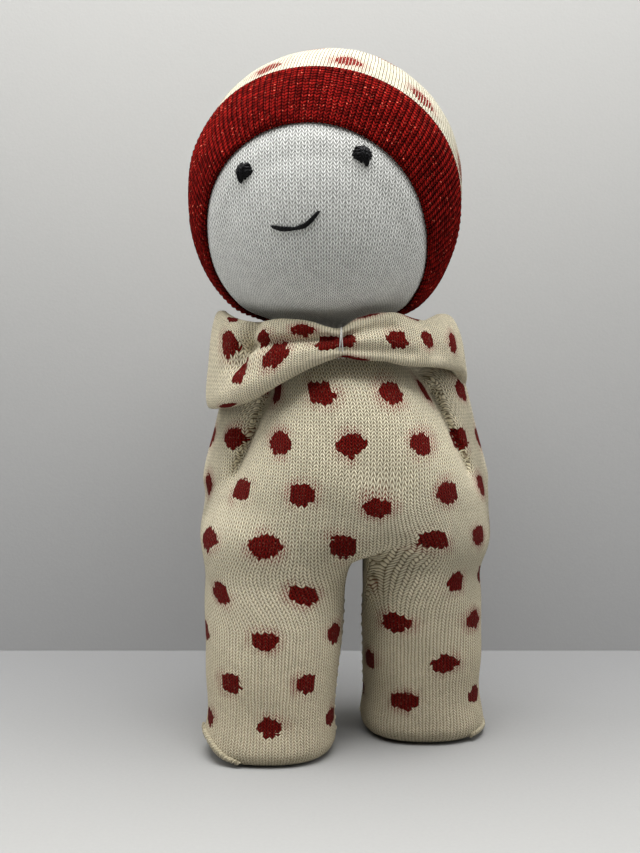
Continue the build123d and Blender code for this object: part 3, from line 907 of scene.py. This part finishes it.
wind = np.linspace(0, 2 * pi * 4.2, 340)
tie = round_neck(wind, 9.55 + 0.12 * np.sin(5.3 * wind),
                 140.1 + 0.62 * wind / (2 * pi) + 0.15 * np.sin(2.7 * wind))
thread_piece("neck_tie_thread", [(tie, 0.42, False)], "neck_tie", "neck_tie")


# ---------------------------------------------------------------- eyes and mouth
# The second colour is painted shade in the grooves between the plies
black_thread = thread_material("black_embroidery_thread", (0.005, 0.005, 0.006), (0.0005, 0.0005, 0.0006),
                               0.45, 0.0, 0.12)


def on_head(azimuth, elevation, radius):
    a, e = radians(azimuth), radians(elevation)
    return head_shape(squeezed(HEAD + np.array([(sin(a) * cos(e), -cos(a) * cos(e), sin(e))]) * radius))[0]


# Stitches of an eye in degrees over the head: start, end, how proud they stand, thread radius
EYE_STITCHES = (
    ((-2.9, 1.9), (2.6, 2.4), 0.9, 0.62), ((-3.5, 0.8), (3.2, 1.2), 1.2, 0.66),
    ((-3.7, -0.2), (3.5, 0.0), 1.3, 0.68), ((-3.2, -1.2), (3.0, -0.9), 1.1, 0.64),
    ((-2.6, -2.2), (1.8, -1.6), 0.8, 0.58), ((-0.8, 3.2), (0.3, -2.6), 1.7, 0.62),
    ((1.2, 3.0), (-1.5, -3.2), 1.6, 0.62), ((-1.5, 2.9), (-2.1, -3.9), 1.5, 0.56),
    ((2.8, 1.9), (-2.0, -4.1), 1.2, 0.5))
for side, azimuth, elevation, mirror in (("left", -34.8, 1.9, 1), ("right", 13.9, 6.9, -1)):
    specs = []
    for (a0, e0), (a1, e1), proud, radius in EYE_STITCHES:
        path = []
        for t in np.linspace(0, 1, 9):
            a = azimuth + mirror * (a0 + (a1 - a0) * t)
            e = elevation + e0 + (e1 - e0) * t
            path.append(on_head(a, e, HEAD_R - 0.5 + (proud + 0.2) * sin(pi * t) ** 0.6))
        specs.append((path, radius, False))
    thread_piece(f"{side}_eye_knot", specs, "head", f"{side}_eye", black_thread)

# Two long stitches in degrees over the head, each worked with four strands of thread
SMILE = (((-23.8, -17.8), (-18.5, -18.6), (-12.6, -18.8)), ((-13.9, -18.9), (-8.2, -17.4), (-3.0, -13.2)))
specs = []
for spots in SMILE:
    for k in range(4):
        shift_a, shift_e = 0.35 * cos(2.1 * k), 0.45 * sin(2.1 * k)
        path = [on_head(a + shift_a * sin(pi * t), e + shift_e * sin(pi * t),
                        HEAD_R - 0.5 + (0.75 + 0.25 * (k % 2)) * sin(pi * t) ** 0.4)
                for t, (a, e, _) in zip(np.linspace(0, 1, 15), smooth_curve([(*s, 0) for s in spots], 15))]
        specs.append((path, 0.5, False))
thread_piece("smile_stitches", specs, "head", "mouth_stitch", black_thread)


# ---------------------------------------------------------------- hat
# The second colour of each knit below is painted shade in the gaps between its stitches
rib_red = knit("red_glitter_rib", (0.22, 0.008, 0.006), (0.014, 0.0005, 0.0005), depth=0.4, slope=2.6,
               rough=0.8, sheen=0.012, glitter_glints=0.02, mottle=0.14, uneven=0.9, close=0.9, shine=0.0, rib=0.45)
hat_knit = knit("stretched_dotted_knit", (0.71, 0.67, 0.54), (0.15, 0.125, 0.07), hat_dots, depth=0.35,
                slope=3.0, mottle=0.08, uneven=0.2, rib=0.75, bars=0.28, red=(0.24, 0.018, 0.012), notch=0.4)
RIBS, CROWN_WALES = 134, 264


def hat_piece(name, line, count, wales, course, wave, material, node):
    """A closed shell of the hat from a section: distance from the head's middle and degrees from the axis."""
    line = np.array(line, float)
    turn = (np.arange(count) * 2 * pi / count)[None, :]
    out, angle = wave(np.arange(len(line))[:, None], turn, line[:, :1] + 0 * turn, line[:, 1:] + 0 * turn)
    angle = np.radians(angle)
    fuller = 3.0 * np.exp(-((turn - 0.8) / 0.5) ** 2) + 1.4 * np.exp(-((turn - 3.75) / 0.6) ** 2)
    out = out + step_between(angle, radians(60), radians(75)) * fuller
    across = np.cos(turn)[..., None] * HAT_SIDE + np.sin(turn)[..., None] * HAT_DOWN
    points = HEAD + (out * np.cos(angle))[..., None] * HAT_AXIS + (out * np.sin(angle))[..., None] * across
    flat = np.stack([line[:, 0] * np.radians(line[:, 1]), line[:, 0]], 1)
    faces, uv = grid_mesh(lengths_round(flat) / course, np.arange(count + 1) / count * wales, True)
    points = head_shape(points.reshape(-1, 3))
    return piece(name, points, faces[:, ::-1], uv[:, ::-1], material, "hat", node)


def cuff_wave(i, turn, out, angle):
    """Ribs over the face of the cuff, which runs unevenly round the head."""
    near = 1 - step_between(angle, CUFF_MOUTH, CUFF_END)
    angle = angle + mouth_shift(turn) * near + end_shift(turn) * (1 - near)
    on_face = step_between(i, 1, 5) * (1 - step_between(i, 50, 60))
    rib = -np.cos(RIBS * turn)
    lumpy = 0.30 * np.sin(5 * turn + 1.3) * np.sin(i / 17) + 0.2 * np.sin(11 * turn) * np.sin(i / 11 + 1)
    return out + on_face * (0.42 * rib + lumpy), angle + 0.5 * np.abs(rib) * (i < 3)


EDGE_ROLL = 1.05
cuff_line = [(CUFF_R - 1.0, CUFF_END + 0.2), (CUFF_R - 0.35, CUFF_END)]
cuff_line += [(CUFF_R - 0.15, a) for a in np.linspace(CUFF_END - 0.8, CUFF_MOUTH + 2.4, 46)]
for t in np.linspace(0.1, 1.0, 11):
    rolled = EDGE_ROLL * (1 - cos(pi * t)) * 0.9
    cuff_line.append((CUFF_R - 0.15 - rolled, CUFF_MOUTH + 2.2 - 2.4 * sin(pi * t)))
cuff_line += [(HAT_INNER + 0.12, a) for a in np.linspace(CUFF_MOUTH + 3.2, CUFF_END, 14)]
cuff = hat_piece("hat_rib_cuff", cuff_line, RIBS * (6), RIBS, 1.25, cuff_wave, rib_red,
                 "hat_cuff")

PLEATS = 26
CROWN_ROWS, LINING_ROWS = 110, 41


def crown_wave(i, turn, out, angle):
    """Pleats that deepen towards the gathered back, and the softness of the cloth."""
    outer = i < CROWN_ROWS
    share = np.where(outer, i / CROWN_ROWS, (CROWN_ROWS + LINING_ROWS - 1 - i) / (LINING_ROWS - 1.0))
    angle = angle + end_shift(turn) * (1 - step_between(share, 0.0, 0.5))
    deep = 0.10 + 1.5 * step_between(share, 0.55, 0.97)
    bent = turn + 0.05 * np.sin(3 * turn) + 0.03 * np.sin(7 * turn + 1)
    soft = (0.25 * np.sin(3 * turn + 0.5) * np.sin(share * 3.0)
            + 0.15 * np.sin(7 * turn + 2) * np.sin(share * 5))
    return out + (soft - 0.2 - deep * 0.5 * (1 + np.cos(PLEATS * bent))) * outer, angle


crown_line = [(CROWN_R, a) for a in np.linspace(CUFF_END - 1.5, 177.0, CROWN_ROWS)]
crown_line.append((CROWN_R - 2.2, 177.6))
crown_line += [(HAT_INNER + 0.1, a) for a in np.linspace(176.5, CUFF_END - 1.5, LINING_ROWS - 1)]
crown = hat_piece("hat_crown_knit", crown_line, 572, CROWN_WALES, 1.7, crown_wave,
                  hat_knit, "hat_crown")

wind = np.linspace(0, 2 * pi * 3.1, 220)
pole = HEAD - HAT_AXIS * (CROWN_R - 0.6)
gather = [pole + (3.3 + 0.3 * np.sin(3.7 * w)) * (np.cos(w) * HAT_SIDE + np.sin(w) * HAT_DOWN)
          - HAT_AXIS * (0.25 * w / pi - 0.5 + 0.2 * np.sin(2.2 * w)) for w in wind]
thread_piece("hat_gathering_thread", [(gather, 0.42, False)], "hat", "hat_gather_thread")


# ---------------------------------------------------------------- scarf
# Degrees round the neck from the front towards +X, then the height of the scarf's upper or lower edge
SCARF_TOP = ((-180, 145.5), (-130, 146), (-100, 151.2), (-88, 151.8), (-74, 150.8), (-54, 148.1),
             (-41, 147.0), (-28, 148.4), (-15, 147.7), (-6, 145.4), (0, 144.4), (5, 147.9), (16, 150.0),
             (28, 150.4), (36, 148.6), (47, 147.6), (58, 149.4), (66, 150.4), (76, 150.0), (90, 148.6),
             (120, 146.5), (180, 145.5))
SCARF_BOTTOM = ((-180, 126), (-130, 122), (-100, 118.2), (-80, 117.2), (-55, 118.4), (-42, 120.9),
                (-34, 123.8), (-23, 128.3), (-14, 131.7), (-5, 134.6), (0, 135.8), (8, 134.3), (20, 134.2),
                (29, 132.6), (54, 131.8), (77, 130.0), (92, 125.0), (110, 123.5), (140, 125), (180, 126))
SCARF_WALES, SCARF_COURSES = 150, 31.9


def round_table(table, degrees):
    """Values of a closed table of angles, smoothed a little."""
    table = np.array(table, float)
    spread = (-3.0, -1.5, 0.0, 1.5, 3.0)
    total = 0
    for d in spread:
        a = (degrees + d + 180) % 360 - 180
        total = total + np.interp(a, table[:, 0], table[:, 1])
    return total / len(spread)


def scarf_ring(z):
    """How far up the scarf's ring a height is, 0 to 1, then its half width and half depth there."""
    share = (z - SCARF_LOW[0]) / (SCARF_HIGH[0] - SCARF_LOW[0])
    return (share, SCARF_LOW[1] + (SCARF_HIGH[1] - SCARF_LOW[1]) * share,
            SCARF_LOW[2] + (SCARF_HIGH[2] - SCARF_LOW[2]) * share)


# Valleys and ridges of the folds, seen from the front: X and Z along each, then height and half width
FOLDS = (
    (((-28.5, 149.5), (-30.4, 144), (-33.0, 138.5), (-34.8, 133.0)), -4.2, 2.6),
    (((-33.0, 138.2), (-27.0, 139.6), (-19.0, 140.6), (-11.0, 141.0), (-3.0, 141.4)), -3.4, 2.0),
    (((2.5, 142.2), (9.0, 144.6), (17.0, 145.6)), -1.6, 1.9),
    (((3.0, 137.6), (12.0, 137.6), (24.0, 136.8)), -0.9, 1.6),
    (((28.0, 147.0), (31.5, 142.0), (33.0, 137.5)), -1.3, 3.0),
    (((-40, 121.5), (-28, 127.5), (-12, 136.2), (-3, 139.4)), 1.2, 4.0),
    (((8, 141), (22, 141.5), (36, 141)), 0.9, 6.5))


def scarf_relief(x, y, z, degrees, high):
    """How far the scarf's outer face stands out over its ring: folds, and pleats at the gather in front."""
    front = step_between(-y, -2, 8)
    relief = np.zeros_like(x)
    for line, height, width in FOLDS:
        relief += height * np.exp(-(near_line(x, z, line) / width) ** 2) * front
    pleat = np.exp(-np.abs(degrees) / 11.0) * 0.55 * np.cos(high * 9.0 + 0.6) * front
    relief += pleat - 1.6 * np.exp(-(degrees / 3.4) ** 2) * front
    return relief + (0.35 * np.sin(np.radians(degrees) * 9 + high * 2.0) * np.sin(high * 2.5 + 1)
                     * (1 - 0.4 * front))


def scarf_surface(around, loop):
    """Points of the scarf for each angle round the neck and each place once round the strip's section."""
    top, bottom = round_table(SCARF_TOP, around)[:, None], round_table(SCARF_BOTTOM, around)[:, None]
    rise = np.sign(np.sin(loop)) * np.abs(np.sin(loop)) ** 0.9
    outward = np.sign(np.cos(loop)) * np.abs(np.cos(loop)) ** 0.5
    degrees, high = np.meshgrid(around, rise, indexing="ij")
    sine, cosine = np.sin(np.radians(degrees)), np.cos(np.radians(degrees))
    z = (top + bottom) / 2 + (top - bottom) / 2 * high
    share, wide, deep = scarf_ring(z)
    x = SCARF_X - 2.4 * share * np.abs(sine) + wide * sine
    y = -deep * cosine
    normal = np.stack([sine / wide, -cosine / deep])
    normal = normal / np.hypot(*normal)
    relief = scarf_relief(x, y, z, degrees, high)
    lift = relief * np.clip(outward, 0, 1) ** 0.5 - SCARF_THICK / 2 * (1 - outward)
    return np.stack([x + normal[0] * lift, y + normal[1] * lift, z], -1).reshape(-1, 3)


around_count, loop_count = ((560, 108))
around = np.linspace(-180, 180, around_count + 1)[:-1]
around = around - 4.0 * np.sin(np.radians(around))
# The loop starts and ends behind the outer face, where the strip's edges lie
loop = np.linspace(-pi + 0.02, pi - 0.02, loop_count)
scarf_points = scarf_surface(around, loop)
wale_at = np.append(around, around[0] + 360) / 360 * SCARF_WALES
faces, scarf_uv = grid_mesh(wale_at, -loop / pi * SCARF_COURSES, True, wrap_columns=False)

# Dots of the scarf, seen from the front: X and Z, then half width in wales and half height in courses
SCARF_DOTS = (
    (-35.5, 149.3, 4.0, 3.0), (-36.6, 140.4, 4.6, 4.2), (-32.4, 130.6, 3.6, 3.8), (-20.5, 136.0, 4.4, 4.2),
    (-25.4, 141.8, 3.4, 3.6), (-11.6, 144.6, 4.5, 3.9), (-3.4, 140.3, 4.9, 4.8), (1.9, 140.6, 3.3, 4.4),
    (4.2, 135.2, 5.6, 3.6), (9.6, 149.2, 5.0, 3.0), (19.2, 141.0, 4.4, 4.0), (30.2, 141.6, 3.8, 4.2),
    (39.3, 140.0, 3.6, 4.2), (26.6, 149.0, 5.0, 3.0), (-38.6, 118.9, 5.4, 2.6))


def scarf_spot(x, z, half_width, half_height):
    """The wale and course of a dot, and its size, a little smaller than it looks."""
    _, wide, _ = scarf_ring(z)
    degrees = np.degrees(np.arcsin(np.clip((x - SCARF_X) / wide, -1, 1)))
    top, bottom = round_table(SCARF_TOP, degrees), round_table(SCARF_BOTTOM, degrees)
    share = np.clip((z - (top + bottom) / 2) / ((top - bottom) / 2), -0.98, 0.98)
    lift = np.arcsin(np.sign(share) * np.abs(share) ** (1 / 0.9))
    return degrees / 360 * SCARF_WALES, -lift / pi * SCARF_COURSES, half_width * 0.48, half_height * 0.8


BACK_SPOTS = ((48, -4), (55, 7), (64, -6), (72, 3), (-48, 5), (-55, -6), (-64, 6), (-72, -4))
spots = [scarf_spot(*dot) for dot in SCARF_DOTS] + [(wale, course, 2.5, 4.0) for wale, course in BACK_SPOTS]
scarf_knit = knit("scarf_dotted_knit", CREAM, CREAM_GAP_SHADE, listed_dots(spots), depth=0.3)
scarf = piece("scarf_knit", scarf_points, faces, scarf_uv[..., ::-1], scarf_knit, "torso",
              "scarf")

# The second colour is painted shade in the grooves between the plies
white_thread = thread_material("white_gather_thread", (0.86, 0.85, 0.82), (0.5, 0.49, 0.46), 0.45)
specs = []
for k, (shift_x, lean) in enumerate(((-0.45, 0.4), (0.35, -0.3))):
    turn = np.linspace(0, 2 * pi, 61)[:-1]
    loop_path = np.stack([SCARF_X - 0.2 + shift_x + lean * np.sin(turn + 0.4 * k),
                          -SCARF_HIGH[2] - 1.4 + SCARF_THICK / 2 - 3.1 * np.cos(turn),
                          140.1 + 5.0 * np.sin(turn)], 1)
    specs.append((loop_path, 0.2, True))
thread_piece("scarf_gather_loops", specs, "torso", "scarf_gather_thread", white_thread)

specs = []
for k in range(7):
    z = 128.0 + 2.4 * k
    _, _, y = scarf_ring(z)
    path = [(SCARF_X + dx, y + dy, z + dz)
            for dx, dy, dz in ((-1.9, -1.2, -0.9), (-0.9, 0.25, -0.4), (0.9, 0.25, 0.4), (1.9, -1.2, 0.9))]
    specs.append((smooth_curve(path, 9), 0.3, False))
thread_piece("scarf_join_sewing", specs, "torso", "scarf_join_stitches")


# ---------------------------------------------------------------- floor, wall and light
WALL_Y, STAGE_REACH, WALL_TOP = 107.0, 1400.0, 2500


def stage_plane(name, corners, material):
    mesh = bpy.data.meshes.new(name)
    mesh.from_pydata([(x * MM, y * MM, z * MM) for x, y, z in corners], [], [(0, 1, 2, 3)])
    mesh.materials.append(material)
    new_object(name, mesh)


def stage_material(name, low, high, reach):
    """Pale cloth with painted shade, of tone low where the floor meets the wall and high from reach metres
    on.
    """
    material, tree, shader = new_material(name, 0.95, 0.0, 0.1)
    parts = tree.nodes.new("ShaderNodeSeparateXYZ")
    tree.links.new(tree.nodes.new("ShaderNodeTexCoord").outputs["Object"], parts.inputs[0])
    y, z = (Expr(tree, socket) for socket in parts.outputs[1:])
    grain = noise_at(tree, 900, 3.0)
    # Painted shade, darkest in the corner where floor and wall meet: lower down the wall and nearer the wall
    # on the floor
    corner_shade_fade = smooth((z + (WALL_Y * MM - y).fn("ABSOLUTE")) / reach, 0.0, 1.0)
    mixed = colour_mix(tree, corner_shade_fade + (grain - 0.5) * 0.25, (low,) * 3, (high, high * 0.995, high * 0.965))
    tree.links.new(mixed, shader.inputs["Base Color"])
    bump_from(tree, shader, grain, 0.1, 0.5)
    return material


def choose(tree, amount, low, high, output):
    """Show the shader low where amount is 0 and high where it is 1."""
    mix = tree.nodes.new("ShaderNodeMixShader")
    for slot, socket in zip(mix.inputs, (amount, low, high)):
        tree.links.new(socket, slot)
    tree.links.new(mix.outputs[0], tree.nodes[output].inputs["Surface"])


def one_sided(material):
    """Show the wall from its front only, so that it never stands before the doll."""
    tree = material.node_tree
    behind = tree.nodes.new("ShaderNodeNewGeometry").outputs["Backfacing"]
    clear = tree.nodes.new("ShaderNodeBsdfTransparent").outputs[0]
    choose(tree, behind, tree.nodes["Principled BSDF"].outputs[0], clear, "Material Output")


wall_material = stage_material("pale_wall", 0.35, 0.45, 0.28)
one_sided(wall_material)
stage_plane("floor", [(-STAGE_REACH, -STAGE_REACH, 0), (STAGE_REACH, -STAGE_REACH, 0),
                      (STAGE_REACH, STAGE_REACH, 0), (-STAGE_REACH, STAGE_REACH, 0)],
            stage_material("pale_floor", 0.25, 0.35, 0.25))
stage_plane("wall", [(-STAGE_REACH, WALL_Y, 0), (STAGE_REACH, WALL_Y, 0), (STAGE_REACH, WALL_Y, WALL_TOP),
                     (-STAGE_REACH, WALL_Y, WALL_TOP)], wall_material)


def area_light(name, location, target, energy):
    lamp = bpy.data.lights.new(name, "AREA")
    lamp.size = 0.6
    lamp.energy = energy
    obj = new_object(name, lamp)
    obj.location = location
    ahead = np.array(target) - np.array(location)
    obj.rotation_euler = Vector(ahead).to_track_quat("-Z", "Y").to_euler()


area_light("key", (0.0, -0.115, 0.72), (0, 0.0, 0.1), 11.0)
area_light("left_side", (-0.72, -0.08, 0.42), (0, 0, 0.16), 3.0)
area_light("right_side", (0.72, -0.08, 0.42), (0, 0, 0.16), 2.3)

# The camera sees a paler world than the one that lights the doll
world = bpy.data.worlds.new("studio")
bpy.context.scene.world = world
world.use_nodes = True
world_tree = world.node_tree
ambient, seen = world_tree.nodes["Background"], world_tree.nodes.new("ShaderNodeBackground")
for background, tone, strength in ((ambient, 0.95, 0.05), (seen, 0.93, 0.45)):
    background.inputs["Color"].default_value = (0.95, 0.95, tone, 1)
    background.inputs["Strength"].default_value = strength
choose(world_tree, world_tree.nodes.new("ShaderNodeLightPath").outputs["Is Camera Ray"], ambient.outputs[0],
       seen.outputs[0], "World Output")
